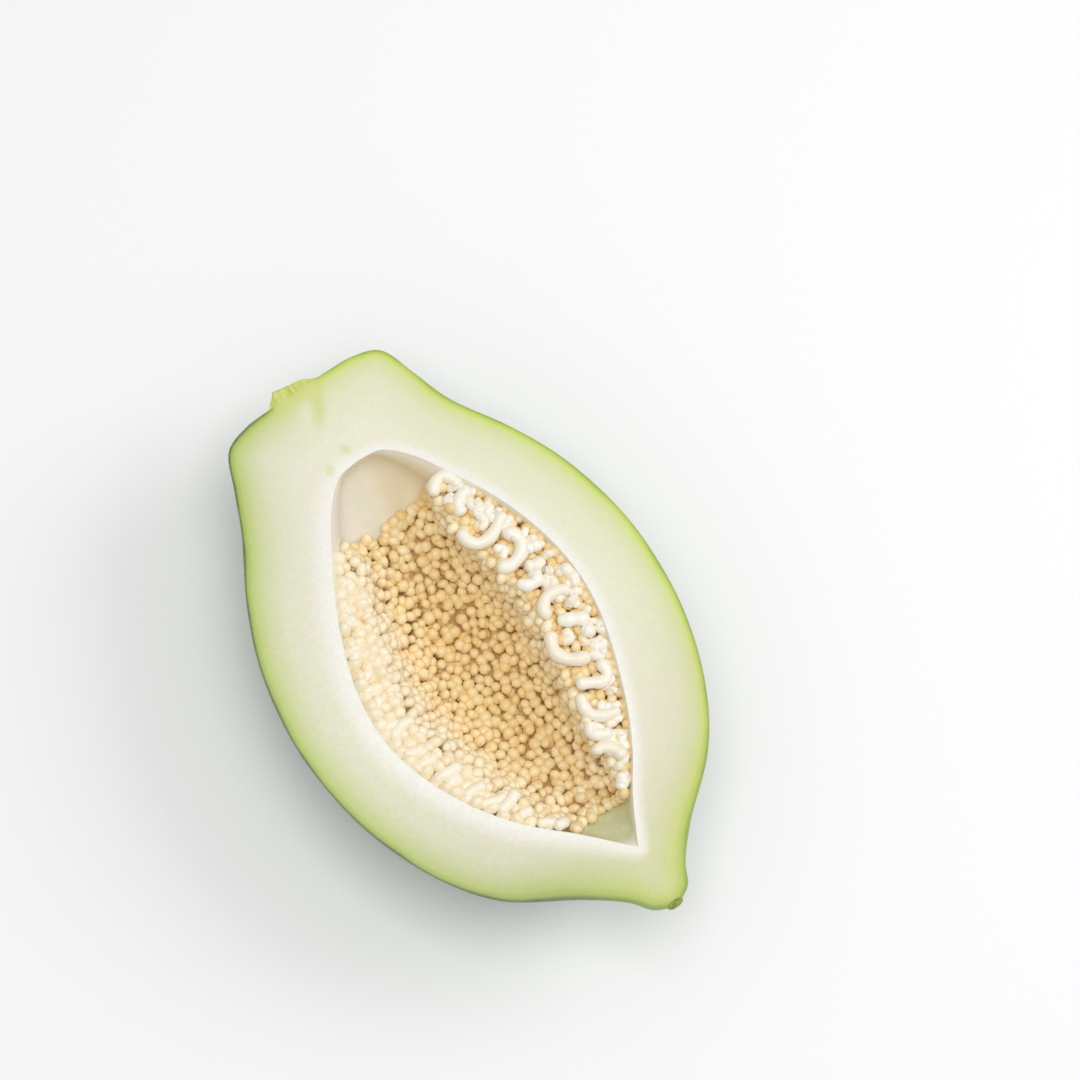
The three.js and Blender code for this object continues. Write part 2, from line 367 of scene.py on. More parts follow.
def streak_mask(tree, place, centre, length, width, turn):
    """1 in the middle of a lens-shaped streak on the cut face and 0 outside it."""
    inputs = {
        "Vector": place,
        "Location": to_row(*centre, 0),
        "Rotation": (0.0, 0.0, math.radians(turn)),
        "Scale": (length / 2 * MM, width / 2 * MM, 1.0),
    }
    mapped = add(tree, "ShaderNodeMapping", inputs, vector_type="TEXTURE").outputs[0]
    return add(tree, "ShaderNodeTexGradient", {"Vector": mapped}, gradient_type="SPHERICAL").outputs["Fac"]


# The veins that run from the stalk into the flesh: the middle of each along and across the fruit,
# its length and width in millimetres, its turn in degrees and its strength.
VEINS = [
    ((0.0, 1.5), 16, 30, 0, 1.0), ((8.5, 5.2), 26, 8.5, -30, 0.7), ((3.0, -5.0), 16, 9.0, 20, 0.5),
    ((27.4, 3.9), 7.5, 5.0, 30, 0.5), ((30.4, -4.9), 7.0, 5.0, -20, 0.5),
]


def flesh_material():
    """Firm unripe flesh: green under the rind, then ivory, whiter and wetter round the hollow, with painted
    shade darkening the near side.
    """
    material, tree, shader = start_material(
        "papaya_flesh", Roughness=0.42, Subsurface_Weight=0.12, Subsurface_Scale=0.004, Coat_Weight=0.12,
        Coat_Roughness=0.25,
    )
    place = object_place(tree)
    axes = add(tree, "ShaderNodeSeparateXYZ", {"Vector": place}).outputs
    reach = fade(tree, axes["X"], 0.065, 0.1, 24.0, 48.0)
    shares = {0: attribute(tree, "rind"), 1: reach}
    depth = add(tree, "ShaderNodeMath", shares, operation="DIVIDE").outputs[0]
    wobble = {0: noise(tree, place, 60.0, 2.0), 1: 0.05, 2: depth}
    shifted = add(tree, "ShaderNodeMath", wobble, operation="MULTIPLY_ADD").outputs[0]
    # The near ramp is darker than the far one, down to its rind line: painted shade on the side turned from
    # the key lamp, over the green rind and ivory flesh that both sides have.
    far = ramp(
        tree, shifted, (0.04, "8dac30"), (0.065, "b8cc48"), (0.12, "cfdb7c"), (0.23, "d8dca6"),
        (0.45, "e0e1bf"), (1.0, "e8e6cf"),
    )
    near = ramp(
        tree, shifted, (0.045, "4a661a"), (0.07, "98ae3a"), (0.14, "b4c566"), (0.3, "c8cf96"),
        (0.55, "d7d9b8"), (1.0, "e2dfcb"),
    )
    sides = mix(tree, fade(tree, axes["Y"], -0.035, 0.015), near, far)
    flesh = mix(tree, fade(tree, axes["X"], 0.0, 0.09), sides, colour("f3f0ec"), "MULTIPLY")
    white_width = fade(tree, axes["Y"], -0.03, 0.02, 10.0, 5.0)
    whiteness = fade(tree, attribute(tree, "lining"), 0.4, white_width, 0.8, 0.0)
    veined = mix(tree, whiteness, flesh, colour("f3f0ea"))
    for centre, length, width, turn, strength in VEINS:
        mask = streak_mask(tree, place, centre, length, width, turn)
        veined = mix(tree, fade(tree, mask, 0.0, 0.9, 0.0, strength), veined, colour("ccd274"))
    cells, normal = grain(tree, 700.0, 0.25)
    grained = mix(tree, fade(tree, cells, 0.35, 0.65, 0.0, 0.10), veined, colour("c9cbb0"))
    tree.links.new(grained, shader.inputs["Base Color"])
    tree.links.new(fade(tree, cells, 0.3, 0.7, 0.36, 0.5), shader.inputs["Roughness"])
    tree.links.new(normal, shader.inputs["Normal"])
    return material


def hollow_material():
    """The hollow's thin skin, ivory and a little wet, greener towards the tip."""
    material, tree, shader = start_material(
        "hollow_skin", Roughness=0.4, Subsurface_Weight=0.1, Subsurface_Scale=0.004, Coat_Weight=0.2,
        Coat_Roughness=0.2,
    )
    place = object_place(tree)
    axes = add(tree, "ShaderNodeSeparateXYZ", {"Vector": place}).outputs
    sides = mix(tree, fade(tree, axes["Y"], -0.01, 0.02), colour("e8e4d8"), colour("ece0c0"))
    ends = mix(tree, fade(tree, axes["X"], 0.055, 0.075), sides, colour("cacb9e"))
    rim = mix(tree, fade(tree, attribute(tree, "lining"), 0.5, 5.0, 0.85, 0.0), ends, colour("f2efe6"))
    patchy = mix(tree, fade(tree, noise(tree, place, 180.0), 0.4, 0.7, 0.0, 0.3), rim, colour("efe9d6"))
    _, normal = grain(tree, 500.0, 0.35)
    tree.links.new(patchy, shader.inputs["Base Color"])
    tree.links.new(normal, shader.inputs["Normal"])
    return material


def under_stalk(point):
    """True where the stalk's tissue runs on into the flesh, so that no rind parts them."""
    beside = abs(point.y - AXIS_Y - STALK_Y * MM)
    return point.x < AXIS_START + STALK_DEPTH * MM and beside < STALK_REACH * MM


def outline_tree(place):
    """A look-up of the nearest point on the outline that place gives on both sides of the cut."""
    points = [place(step / OUTLINE_STEPS, side) for step in range(OUTLINE_STEPS + 1) for side in (0, 1)]
    points = [point for point in points if not under_stalk(point)]
    lookup = KDTree(len(points))
    for index, point in enumerate(points):
        lookup.insert(point, index)
    lookup.balance()
    return lookup


def store_distance(piece, name, lookup):
    """Keeps on each point its distance in millimetres from an outline."""
    layer = piece.data.attributes.new(name, "FLOAT", "POINT")
    for vertex, item in zip(piece.data.vertices, layer.data):
        item.value = lookup.find(vertex.co)[2] / MM


skin = patch("skin", SKIN_GRID, skin_place)
skin.data.materials.append(skin_material())
hollow_skin = patch("hollow_skin", HOLLOW_GRID, hollow_place)
hollow_skin.data.materials.append(hollow_material())
cut_faces = [patch("far_cut", CUT_GRID, far_cut_place), patch("near_cut", CUT_GRID, near_cut_place)]
flesh = flesh_material()
for face in cut_faces:
    face.data.materials.append(flesh)
wall = join("papaya_wall", [skin, hollow_skin, *cut_faces])
weld(wall)
store_distance(wall, "rind", outline_tree(skin_place))
store_distance(wall, "lining", outline_tree(hollow_place))
finish_piece(wall, "fruit_wall", "fruit_wall")

# Seed lining
# The soft tissue that the seeds grow from. It lines the hollow's belly, thin at the bottom and thicker under
# the two rims, and shows only in the gaps between the seeds, golden partly as painted shade in those gaps.
# The seeds begin, fill the bed, start to thin out and end at these distances from the stalk end.
BED_ENDS = (51, 68, 160, 191)
# How much of the hollow's radius they fill under the fruit's middle and at each rim.
BED_SHARES = {"bottom": 0.22, "far": 0.46, "near": 0.3}
BED_CURVE = 1.5
SPACE_SCALE = 1.04
LINING_ENDS = (57, 184)
LINING_GAP = 0.3
LINING_DEPTH = 2.6
LINING_TOP = 3.4
LINING_THINNEST = 0.05
LINING_GRID = (110, 90)


def bed_share(x, angle):
    """How much of the hollow's radius the seeds fill."""
    side = math.cos(angle)
    rim = BED_SHARES["far"] if side > 0 else BED_SHARES["near"]
    share = BED_SHARES["bottom"] + (rim - BED_SHARES["bottom"]) * abs(side) ** BED_CURVE
    return share * smooth(BED_ENDS[0], BED_ENDS[1], x) * (1 - smooth(BED_ENDS[2], BED_ENDS[3], x))


def space_radius(x, angle):
    """The radius of the open space between the seeds."""
    return hollow_radius(x, angle) * SPACE_SCALE * (1 - bed_share(x, angle))


def lining_place(u, v):
    """Round the lining's section: out along its outside, and back along its inside."""
    x = LINING_ENDS[0] + (LINING_ENDS[1] - LINING_ENDS[0]) * u
    outside = v < 0.5
    turn = 2 * v if outside else 2 - 2 * v
    outer = hollow_radius(x, math.pi / 2) - LINING_GAP
    start = math.asin(min(LINING_TOP / outer, 0.9))
    angle = start + (math.pi - 2 * start) * turn
    outer = hollow_radius(x, angle) - LINING_GAP
    inner = min(space_radius(x, angle) + LINING_DEPTH, outer - LINING_THINNEST)
    if u in (0, 1):
        inner = outer
    point = hollow_point(x, outer if outside else inner, angle)
    point.z = min(point.z, CUT_HEIGHT - LINING_TOP * MM)
    return point


def lining_material():
    """Golden tissue in darker and lighter patches, its gold partly painted shade for the gaps between the
    seeds, and paler on the near side as painted light.
    """
    material, tree, shader = start_material(
        "seed_tissue", Roughness=0.5, Subsurface_Weight=0.1, Subsurface_Scale=0.003,
    )
    place = object_place(tree)
    tissue = ramp(tree, noise(tree, place, 220.0, 3.0), (0.35, "cf9a52"), (0.55, "e2b872"), (0.75, "f0d29c"))
    across = add(tree, "ShaderNodeSeparateXYZ", {"Vector": place}).outputs["Y"]
    # Paler on the near side: painted light where the near slope is lit.
    paler = mix(tree, fade(tree, across, 0.0, -0.03, 0.0, 0.7), tissue, colour("f5e4c2"))
    _, normal = grain(tree, 400.0, 0.6)
    tree.links.new(paler, shader.inputs["Base Color"])
    tree.links.new(normal, shader.inputs["Normal"])
    return material


lining = patch("seed_lining", LINING_GRID, lining_place)
lining.data.materials.append(lining_material())
weld(lining)
finish_piece(lining, "young_seeds", "seed_bed")

# Young seeds
# Soft pale seeds, a round head of about 4 mm on a short stalk coloured golden as painted shade at the seeds'
# bases. Hundreds of them grow from the lining towards the middle, packed so closely that only their heads
# show.
SEED_SEGMENTS = 9
# Each ring of a seed from its root: the height and radius in millimetres.
SEED_RINGS = [(0, 0), (1.6, 0.95), (3.0, 1.55), (4.6, 2.2), (6.1, 1.9), (7.05, 1.0), (7.3, 0)]
SEED_LENGTH = SEED_RINGS[-1][0]
# The height on a seed that plant() puts at the head's place.
HEAD_HEIGHT = 5.0
SEED_PITCH = 4.0
ROW_SHARE = 0.87
SEED_DENTS = 0.11 * MM
DEEP_SIZES = (0.86, 1.08)
DEEP_SCATTER = 1.4
WALL_MARGIN = 2.0
THINNEST_BED = 0.03
# A head of size 1 reaches this far to its side, and may sink this far into the hollow's wall.
HEAD_REACH = 2.4
HEAD_SINK = 1.7
BAND_ENDS = (BED_ENDS[0] + 6, BED_ENDS[3] - 8)
BAND_OVERHANG = 1.0
BAND_ROW_SHARE = 0.9
# How far the near slope of seeds reaches in, and how far below the cut its edge and the far one lie.
NEAR_SLOPE = 0.13
NEAR_EDGE_DROP = 6.5
DEEP_TOPS = {"far": 3.0, "near": NEAR_EDGE_DROP - 2.0}
chance = random.Random(11)


def seed_template():
    """One seed standing at the origin, root down, with its share of the height kept on its points."""
    bpy.ops.object.select_all(action="DESELECT")
    bpy.ops.mesh.primitive_uv_sphere_add(segments=SEED_SEGMENTS, ring_count=len(SEED_RINGS) - 1, radius=1)
    seed = bpy.context.object
    rise = seed.data.attributes.new("rise", "FLOAT", "POINT")
    for vertex, item in zip(seed.data.vertices, rise.data):
        share = 1 - math.acos(min(max(vertex.co.z, -1), 1)) / math.pi
        height, radius = SEED_RINGS[round(share * (len(SEED_RINGS) - 1))]
        around = math.hypot(vertex.co.x, vertex.co.y) or 1
        vertex.co = (vertex.co.x / around * radius * MM, vertex.co.y / around * radius * MM, height * MM)
        item.value = height / SEED_LENGTH
    seed.data.attributes.new("tone", "FLOAT", "POINT")
    bpy.ops.object.shade_smooth()
    return seed


def plant(template, head, direction, size, tones, stretch=1.0):
    """A copy of a seed whose head is at that point, in metres, and which points that way."""
    seed = template.copy()
    seed.data = template.data.copy()
    bpy.context.collection.objects.link(seed)
    turn = Vector((0, 0, 1)).rotation_difference(direction).to_matrix().to_4x4()
    spin = Matrix.Rotation(chance.uniform(0, math.tau), 4, "Z")
    wide, deep, tall = (size * chance.uniform(0.84, 1.2) for _ in range(3))
    squash = Matrix.Diagonal((wide, deep, tall * stretch, 1))
    root = Matrix.Translation((0, 0, -HEAD_HEIGHT * MM))
    seed.data.transform(Matrix.Translation(head) @ turn @ spin @ squash @ root)
    for vertex in seed.data.vertices:
        vertex.co += Vector([chance.gauss(0, SEED_DENTS) for _ in range(3)])
    tone = chance.uniform(*tones)
    for item in seed.data.attributes["tone"].data:
        item.value = tone
    return seed


def seed_rows():
    """The places of the seeds' rows: a distance along the hollow and an angle round it."""
    places = []
    count = round((BED_ENDS[3] - BED_ENDS[0]) / (SEED_PITCH * ROW_SHARE))
    for row in range(count + 1):
        x = BED_ENDS[0] + row * SEED_PITCH * ROW_SHARE
        girth = math.pi * space_radius(x, math.pi / 2)
        around = max(round(girth / SEED_PITCH), 1)
        for place in range(around + 1):
            angle = math.pi * (place + row % 2 / 2) / around
            along = x + chance.uniform(-1.1, 1.1)
            places.append((along, angle + chance.uniform(-1.0, 1.0) / (girth / math.pi)))
    return places


def head_radius(x, angle):
    """The radius at which the heads stand. They reach further in on the near slope."""
    slope = max(-math.cos(angle), 0) ** BED_CURVE
    return space_radius(x, angle) * (1 - NEAR_SLOPE * math.sin(math.pi * slope))


def deep_seeds(template, depth, keep, tones):
    """A layer of seeds this much deeper than the open space's edge."""
    seeds = []
    for x, angle in seed_rows():
        if chance.random() > keep or bed_share(x, angle) < THINNEST_BED:
            continue
        radius = head_radius(x, angle) + depth + chance.uniform(-DEEP_SCATTER, DEEP_SCATTER)
        radius = min(radius, hollow_radius(x, angle) - WALL_MARGIN)
        head = hollow_point(x, radius, angle)
        top = DEEP_TOPS["far"] if angle < math.pi / 2 else DEEP_TOPS["near"]
        if head.z > CUT_HEIGHT - top * MM or not 0 < angle < math.pi:
            continue
        lean = Vector((chance.uniform(-0.7, 0.7), chance.uniform(-0.7, 0.7), chance.uniform(-0.2, 0.7)))
        direction = (Vector((0, -math.cos(angle), math.sin(angle))) + lean).normalized()
        seeds.append(plant(template, head, direction, chance.uniform(*DEEP_SIZES), tones))
    return seeds


def seed_material(name, root, low, high, deep_shade):
    """A stalk of one colour, painted shade at the seed's base, and a head between two tones, paler on the
    near side as painted light and warmer and darker deep down as painted shade.
    """
    material, tree, shader = start_material(
        name, Roughness=0.42, Subsurface_Weight=0.08, Subsurface_Scale=0.002,
        Subsurface_Radius=(1.0, 0.7, 0.4), Coat_Weight=0.15, Coat_Roughness=0.25,
    )
    place = object_place(tree)
    head = mix(tree, attribute(tree, "tone"), colour(low), colour(high))
    axes = add(tree, "ShaderNodeSeparateXYZ", {"Vector": place}).outputs
    # Paler on the near side: painted light where the near slope is lit.
    pale = mix(tree, fade(tree, axes["Y"], 0.004, -0.03, 0.0, 0.6), head, colour("fbeed4"))
    # Warmer and darker deep down: painted shade in the hollow.
    depth = fade(tree, axes["Z"], CUT_HEIGHT - 0.008, CUT_HEIGHT - 0.03, 0.0, 0.6)
    deep = mix(tree, depth, pale, colour(deep_shade))
    # The stalk's colour is painted shade at the seed's base.
    seed = mix(tree, fade(tree, attribute(tree, "rise"), 0.2, 0.55), colour(root), deep)
    _, normal = grain(tree, 380.0, 0.3)
    tree.links.new(seed, shader.inputs["Base Color"])
    tree.links.new(normal, shader.inputs["Normal"])
    return material


template = seed_template()
# The first colour is the stalk's painted shade and the last the painted shade deep down.
template.data.materials.append(seed_material("young_seed", "e8bf76", "edca88", "fdf0cc", "fbdc9a"))
# Besides their random spread, the deeper layer takes the darker tones, as painted shade.
seeds = deep_seeds(template, 0.0, 1.0, (0.4, 1.0)) + deep_seeds(template, 2.3, 0.97, (0.0, 0.5))


def band_seeds(side, top, fall, pitch, tones, sizes, stretch):
    """Seeds between the hollow's wall and the open space on one rim, lower towards the middle."""
    angle = 0 if side > 0 else math.pi
    found = []
    x = BAND_ENDS[0]
    while x < BAND_ENDS[1]:
        outer = hollow_radius(x, angle) - HEAD_REACH * sizes[1] + HEAD_SINK
        inner = space_radius(x, angle) - BAND_OVERHANG
        across = outer - chance.uniform(0, 0.8)
        while across > inner:
            drop = top + fall * (outer - across) / max(outer - inner, 1) + chance.uniform(-0.5, 0.9)
            head = to_row(x + chance.uniform(-0.9, 0.9), hollow_bow(x) + side * across, -drop)
            direction = Vector((chance.uniform(-0.5, 0.5), -side * chance.uniform(0.1, 1.1), 1)).normalized()
            found.append(plant(template, head, direction, chance.uniform(*sizes), tones, stretch))
            across -= pitch
        x += pitch * BAND_ROW_SHARE
    return found


# Besides their random spread, the far band's tones are darker, painted shade under the far rim, and the near
# band's paler, painted light on the lit near rim.
seeds += band_seeds(1, 3.6, 2.0, 3.6, (0.0, 0.7), (0.86, 1.1), 1.0)
seeds += band_seeds(-1, 2.8, NEAR_EDGE_DROP - 2.8, 4.3, (0.5, 1.0), (1.15, 1.45), 1.2)
deep = join("young_seeds", seeds)
bpy.data.objects.remove(template)
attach(deep, "root")

# Rim seeds
# Longer white seeds and seed stalks that the knife laid open along both rims. On the far rim they
# curl in loops and hooks with short ones between, and on the near rim they point inwards.
CURL_THICKNESS = 4.9
# The loops along the far rim, each a line of points along and across the fruit in millimetres.
CURLS = [
    [(59, 20), (55, 23.5), (54.5, 27), (57.5, 29.5), (61.5, 29.5)],
    [(70.5, 24.5), (66.5, 25.5), (64, 29), (64.5, 33)],
    [(68, 31), (70.5, 32)],
    [(73.5, 20.5), (78, 20.5), (81.5, 22.5), (82.5, 27), (81, 31.5), (79, 35), (77.5, 37.5)],
    [(85, 31.5), (85.5, 35), (89.5, 36), (93, 34), (94.5, 30.5), (94.5, 26.5), (92, 23.5)],
    [(95.5, 41.5), (93.5, 38), (94, 34.5)],
    [(98, 31.5), (100, 36), (99, 39)],
    [(101, 26), (104, 28.5), (104.5, 32), (101.5, 34.5)],
    [(103.5, 36.5), (105, 39.5)],
    [(105, 42), (108, 43.5), (112, 43.5), (114.5, 42)],
    [(114, 40.5), (111.5, 35), (112, 30.5), (115, 28), (118.5, 28.5)],
    [(116, 38.5), (119.5, 38)],
    [(120.5, 29.5), (123.5, 35), (126.5, 40)],
    [(127.5, 35), (132, 38.5)],
    [(122, 26), (125.5, 23.5), (129.5, 22.5), (134, 25), (136.5, 29), (137.5, 32.5)],
    [(140, 33), (145, 33.5), (147.5, 31), (145.5, 26.5), (142.5, 21.5)],
    [(146, 21), (149.5, 19.5), (154, 19.5), (157, 22.5), (158.5, 26), (159, 29.5)],
    [(156.5, 18.5), (159.5, 16), (162.5, 18.5), (164, 22.5)],
    [(167.5, 12.5), (166, 14.5), (167.5, 18), (171.5, 20), (174.5, 19.5)],
    [(177, 16.5), (180.5, 14.5), (182, 12)],
]
# A curl's segments and rings.
LONG_CURL = (12, 22)
SHORT_CURL = (10, 14)
# How much a curl swells and narrows along its length.
CURL_SWELL = 0.08
# How far along a curl its direction is measured, as a share of its length.
CURL_AHEAD = 0.02
FILLER_CURLS = 30
FILLER_ENDS = (58, 176)
FILLER_MARGIN = 2.2
FILLER_BAND = 12
FILLER_REACH = 4.0
FILLER_HEIGHT = -2.9
# How high a finger's middle line lies at the rim, in its middle and at its inner end.
FINGER_HEIGHTS = (-2.1, -2.6, -4.4)
FAR_FINGER_THICKNESS = 3.5
NEAR_FINGER_THICKNESS = 4.5


def curl(points, thickness, detail):
    """A round-ended sausage along a line of points in millimetres."""
    line = measured_line(points)
    bpy.ops.object.select_all(action="DESELECT")
    bpy.ops.mesh.primitive_uv_sphere_add(segments=detail[0], ring_count=detail[1], radius=1)
    piece = bpy.context.object
    length = sum(math.dist(a[1:3], b[1:3]) for a, b in zip(line, line[1:]))
    rise = piece.data.attributes.new("rise", "FLOAT", "POINT")
    tone = piece.data.attributes.new("tone", "FLOAT", "POINT")
    shade = chance.random()
    for index, vertex in enumerate(piece.data.vertices):
        share = math.acos(min(max(-vertex.co.z, -1), 1)) / math.pi
        around = math.hypot(vertex.co.x, vertex.co.y)
        end = min(share, 1 - share) * length / (thickness / 2)
        swell = 1 + CURL_SWELL * math.sin(share * 17 + shade * 9)
        radius = thickness / 2 * math.sqrt(1 - (1 - min(end, 1)) ** 2) * swell
        _, x, y, z = row_where(line, 0, share)
        _, next_x, next_y, _ = row_where(line, 0, min(share + CURL_AHEAD, 1))
        _, last_x, last_y, _ = row_where(line, 0, max(share - CURL_AHEAD, 0))
        ahead = Vector((next_x - last_x, next_y - last_y)).normalized()
        side, up = (vertex.co.x / around, vertex.co.y / around) if around > 1e-6 else (0, 0)
        vertex.co = to_row(x - ahead.y * side * radius, y + ahead.x * side * radius, z + up * radius)
        rise.data[index].value = 1.0
        tone.data[index].value = shade
    bpy.ops.object.shade_smooth()
    return piece


def far_curls():
    """The loops along the far rim, their tops about level with the cut."""
    pieces = []
    for places in CURLS:
        thickness = CURL_THICKNESS * chance.uniform(0.93, 1.07)
        points = [(x, y, chance.uniform(0.15, 0.6) - thickness / 2) for x, y in places]
        pieces.append(curl(points, thickness, LONG_CURL))
    return pieces


def filler_curls():
    """Short bent seeds that lie a little lower between the loops."""
    pieces = []
    for _ in range(FILLER_CURLS):
        x = chance.uniform(*FILLER_ENDS)
        outer = hollow_radius(x, 0) - FILLER_MARGIN
        y = hollow_bow(x) + chance.uniform(max(space_radius(x, 0), outer - FILLER_BAND), outer)
        heading = chance.uniform(0, math.tau)
        bend = chance.uniform(0.5, 1.1)
        points = []
        for step in (-1, 0, 1):
            angle = heading + bend * step
            reach = FILLER_REACH * step
            points.append((x + reach * math.cos(angle), y + reach * math.sin(angle), FILLER_HEIGHT))
        pieces.append(curl(points, CURL_THICKNESS * chance.uniform(0.7, 0.9), SHORT_CURL))
    return pieces


def fingers(side, start, end, lengths, gaps, thickness):
    """Seeds that point inwards from one rim, between two distances from the stalk end."""
    angle = 0 if side > 0 else math.pi
    pieces = []
    x = start
    while x < end:
        edge = hollow_bow(x) + side * (hollow_radius(x, angle) - WALL_MARGIN)
        length = side * chance.uniform(*lengths)
        lean = chance.uniform(-0.6, 0.5)
        bend = chance.uniform(-1.4, 1.4)
        points = [
            (x, edge, FINGER_HEIGHTS[0]),
            (x + lean * length / 2 + bend, edge - length / 2, FINGER_HEIGHTS[1]),
            (x + lean * length, edge - length, FINGER_HEIGHTS[2]),
        ]
        pieces.append(curl(points, thickness * chance.uniform(0.85, 1.1), SHORT_CURL))
        x += chance.uniform(*gaps)
    return pieces


curls = far_curls() + filler_curls()
curls += fingers(1, 62, 180, (3.0, 8.0), (3.8, 6.4), FAR_FINGER_THICKNESS)
curls += fingers(-1, 66, 108, (4.4, 7.0), (4.6, 8.0), NEAR_FINGER_THICKNESS)
curls += fingers(-1, 110, 168, (6.0, 12.0), (4.4, 8.0), NEAR_FINGER_THICKNESS)
curls += fingers(-1, 170, 180, (4.4, 7.0), (4.2, 6.0), NEAR_FINGER_THICKNESS)
# The white seeds use the same painted light on the near side and painted shade deep down.
white_seed = seed_material("white_seed", "f4ead0", "f6ecd6", "fbf5e8", "f1ddb4")
for piece in curls:
    piece.data.materials.append(white_seed)
rim = join("rim_seeds", curls)
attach(rim, "root")

# Stalk stump
# The last bit of the fruit's stalk, cut lengthwise with the fruit. It is stringy and yellow-green,
# with a torn, slanting end.
STUMP_RADII = (10.4, 6.2)
STUMP_LENGTH = 3.6
STUMP_SLANT = -0.2
STUMP_GAP = 0.02
# The share of the grid that runs along the side, before it turns in over the end.
STUMP_SIDE = 0.6
STUMP_FLUTES = 11
STUMP_FLUTE_DEPTH = 0.05
STUMP_TEAR = 0.35
STUMP_GRID = (24, 72)
STUMP_CUT_GRID = (24, 16)
STUMP_ROOT_GRID = (8, 72)


def stump_place(u, v):
    """Out along the stump's side from the fruit, and in over its torn end."""
    angle = math.pi * v
    side = min(u / STUMP_SIDE, 1)
    end = max((u - STUMP_SIDE) / (1 - STUMP_SIDE), 0)
    radius = STUMP_RADII[0] + (STUMP_RADII[1] - STUMP_RADII[0]) * smooth(0, 1, side)
    radius *= (1 + STUMP_FLUTE_DEPTH * math.cos(STUMP_FLUTES * angle) * side) * (1 - end)
    y = STALK_Y + radius * math.cos(angle)
    torn = STUMP_TEAR * math.sin(9 * angle + 5 * end) * side * (1 - end**4)
    reach = (STUMP_LENGTH + STUMP_SLANT * y + torn) * side + STUMP_GAP
    return to_row(-reach, y, -radius * math.sin(angle))


def stump_flat_place(u, v):
    """The stump's part of the cut face."""
    return stump_place(u, 0).lerp(stump_place(u, 1), v)


def stump_root_place(u, v):
    """The stump's face against the fruit."""
    outer = stump_place(0, v)
    return outer.lerp(to_row(-STUMP_GAP, STALK_Y, 0), u)


def stump_material():
    """Stringy yellow-green stalk with pale fibres along it."""
    material, tree, shader = start_material(
        "stalk_fibre", Roughness=0.55, Subsurface_Weight=0.08, Subsurface_Scale=0.003,
    )
    place = object_place(tree)
    lengthwise = add(tree, "ShaderNodeMapping", {"Vector": place, "Scale": (0.2, 1.0, 1.0)}).outputs[0]
    fibres = noise(tree, lengthwise, 900.0, 3.0, 0.6)
    tissue = ramp(tree, fibres, (0.3, "b2bd4c"), (0.5, "c6ce66"), (0.75, "d6db8c"))
    bump = add(tree, "ShaderNodeBump", {"Strength": 0.5, "Distance": GRAIN_DEPTH, "Height": fibres})
    tree.links.new(tissue, shader.inputs["Base Color"])
    tree.links.new(bump.outputs["Normal"], shader.inputs["Normal"])
    return material


stump_parts = [
    patch("stump_side", STUMP_GRID, stump_place),
    patch("stump_cut", STUMP_CUT_GRID, stump_flat_place),
    patch("stump_root", STUMP_ROOT_GRID, stump_root_place),
]
stump = join("stalk_stump_cut", stump_parts)
stump.data.materials.append(stump_material())
weld(stump)
finish_piece(stump, "stalk", "stalk_stump")

# Blossom scar
# The dry brown-green scar at the fruit's tip where the flower fell off. It is a little wrinkled
# lens of corky skin, half sunk in the tip and halved with the fruit.
SCAR_X = FRUIT_LENGTH - 1.1
SCAR_Y = skin_bow(FRUIT_LENGTH)
SCAR_RADIUS = 2.9
SCAR_THICKNESS = 2.8
SCAR_LIFT = 0.03
SCAR_FOLDS = 8
SCAR_FOLD_DEPTH = 0.1
SCAR_GRID = (24, 60)
SCAR_CUT_GRID = (24, 2)


def scar_place(u, v):
    """Over the lens from the side inside the tip to its outside, wrinkled in a small star."""
    angle = math.pi * v
    turn = math.pi * (u - 0.5)
    wrinkle = 1 + SCAR_FOLD_DEPTH * math.cos(SCAR_FOLDS * angle)
    radius = SCAR_RADIUS * math.cos(turn) * wrinkle
    x = SCAR_X + SCAR_THICKNESS / 2 * math.sin(turn)
    return to_row(x, SCAR_Y + radius * math.cos(angle), SCAR_LIFT - radius * math.sin(angle))


def scar_flat_place(u, v):
    """The scar's part of the cut face."""
    return scar_place(u, 0).lerp(scar_place(u, 1), v)


def scar_material():
    """Dry corky skin in dull brownish greens."""
    material, tree, shader = start_material("blossom_scar", Roughness=0.75)
    place = object_place(tree)
    cork = noise(tree, place, 900.0, 4.0, 0.7)
    tissue = ramp(tree, cork, (0.3, "636f2c"), (0.5, "869440"), (0.7, "a9ae62"))
    bump = add(tree, "ShaderNodeBump", {"Strength": 0.7, "Distance": GRAIN_DEPTH, "Height": cork})
    tree.links.new(tissue, shader.inputs["Base Color"])
    tree.links.new(bump.outputs["Normal"], shader.inputs["Normal"])
    return material


scar_parts = [
    patch("scar_lens", SCAR_GRID, scar_place),
    patch("scar_cut", SCAR_CUT_GRID, scar_flat_place),
]
scar = join("blossom_scar", scar_parts)
scar.data.materials.append(scar_material())
weld(scar)
finish_piece(scar, "fruit_wall")

# Floor
# A plain pale sheet, not part of the object.
bpy.ops.object.select_all(action="DESELECT")
bpy.ops.mesh.primitive_plane_add(size=6, location=(0, 0, 0))
floor = bpy.context.object
floor.name = "floor"
floor_material, _, floor_shader = start_material("pale_floor", Roughness=0.9)
floor_shader.inputs["Base Color"].default_value = (0.97, 0.97, 0.97, 1)
floor_shader.inputs["Specular IOR Level"].default_value = 0.1
floor.data.materials.append(floor_material)

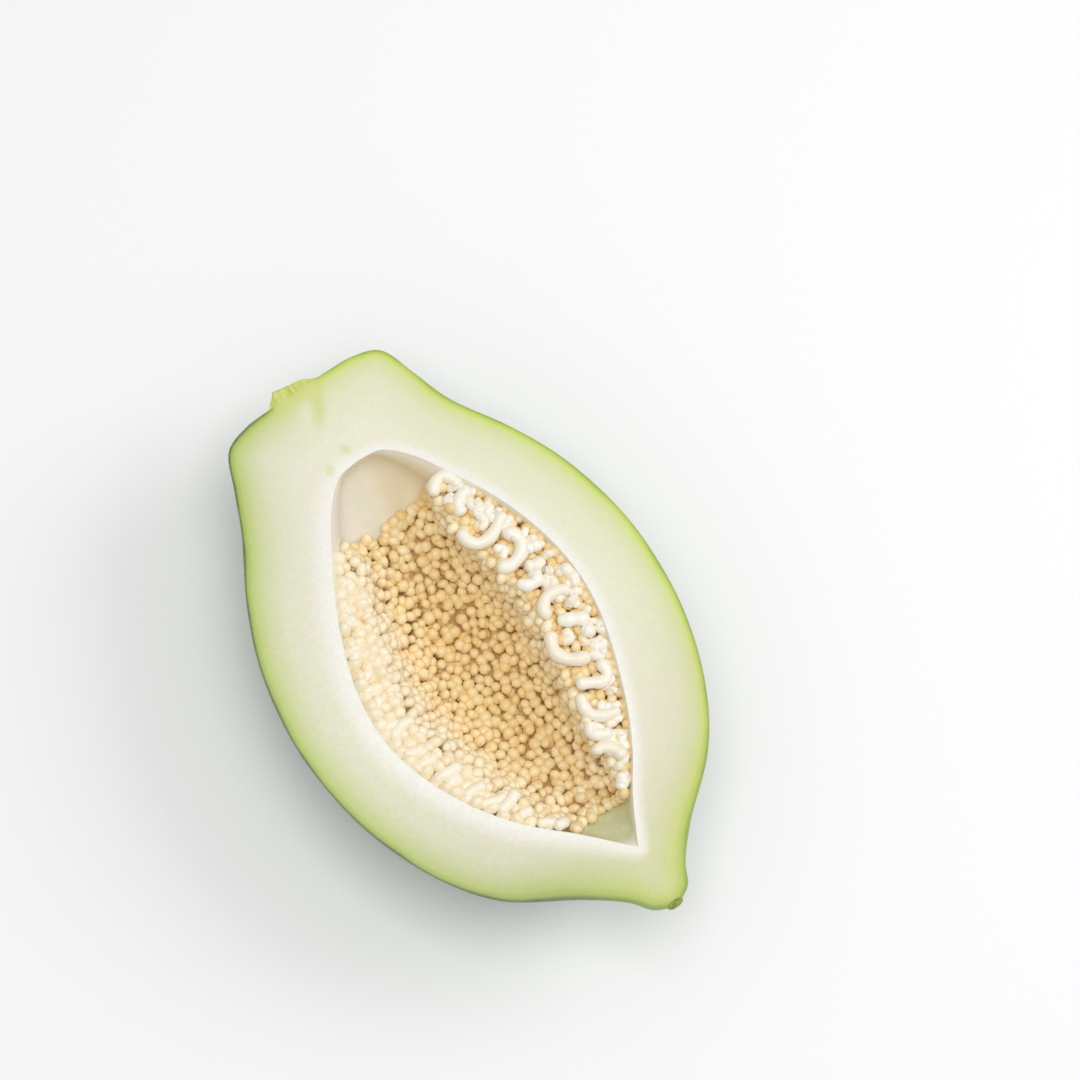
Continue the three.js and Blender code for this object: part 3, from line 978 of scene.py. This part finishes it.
# Camera
# It looks down at the cut face from a little over a metre, leaning slightly to one side, with the
# fruit's tip towards the lower right of the picture.
CAMERA_DISTANCE = 1.2
CAMERA_LENS = 113.6
CAMERA_LEANS = (6.5, -9.0)
PICTURE_UP = Vector((-0.81126, 0.58468, 0))
# Where the middle of the cut face lies from the middle of the picture, as shares of the focal length.
PICTURE_OFFSET = (-66.3 / 3409, -105.4 / 3409)

lean_x, lean_y = (math.sin(math.radians(lean)) for lean in CAMERA_LEANS)
back = Vector((lean_x, lean_y, math.sqrt(1 - lean_x**2 - lean_y**2)))
up = (PICTURE_UP - back * PICTURE_UP.dot(back)).normalized()
right = up.cross(back)
axis_z = (back + PICTURE_OFFSET[0] * right + PICTURE_OFFSET[1] * up).normalized()
axis_x = up.cross(axis_z).normalized()
axis_y = axis_z.cross(axis_x)
eye = Vector((0, 0, CUT_HEIGHT)) + back * CAMERA_DISTANCE
bpy.ops.object.camera_add()
camera = bpy.context.object
camera.name = "camera"
camera.data.lens = CAMERA_LENS
camera.matrix_world = Matrix.Translation(eye) @ Matrix((axis_x, axis_y, axis_z)).transposed().to_4x4()
bpy.context.scene.camera = camera


# Light
# A large soft lamp from the far side, another overhead, and white all round.
LAMP_TARGET = (0, 0, 0.04)
WORLD_STRENGTH = 0.47


def soft_lamp(name, place, size, power):
    """A square lamp at that place that points at the fruit."""
    bpy.ops.object.light_add(type="AREA", location=place)
    lamp = bpy.context.object
    lamp.name = name
    lamp.data.size = size
    lamp.data.energy = power
    aim = Vector(LAMP_TARGET) - Vector(place)
    lamp.rotation_euler = aim.to_track_quat("-Z", "Y").to_euler()


soft_lamp("key_lamp", (0.25, 1.0, 1.05), 0.8, 5.2)
soft_lamp("overhead_lamp", (0.05, -0.1, 1.5), 0.7, 9.0)
world = bpy.context.scene.world or bpy.data.worlds.new("studio")
bpy.context.scene.world = world
world.use_nodes = True
surround = world.node_tree.nodes["Background"]
surround.inputs["Color"].default_value = (1, 1, 1, 1)
surround.inputs["Strength"].default_value = WORLD_STRENGTH
bpy.context.scene.view_settings.view_transform = "Standard"
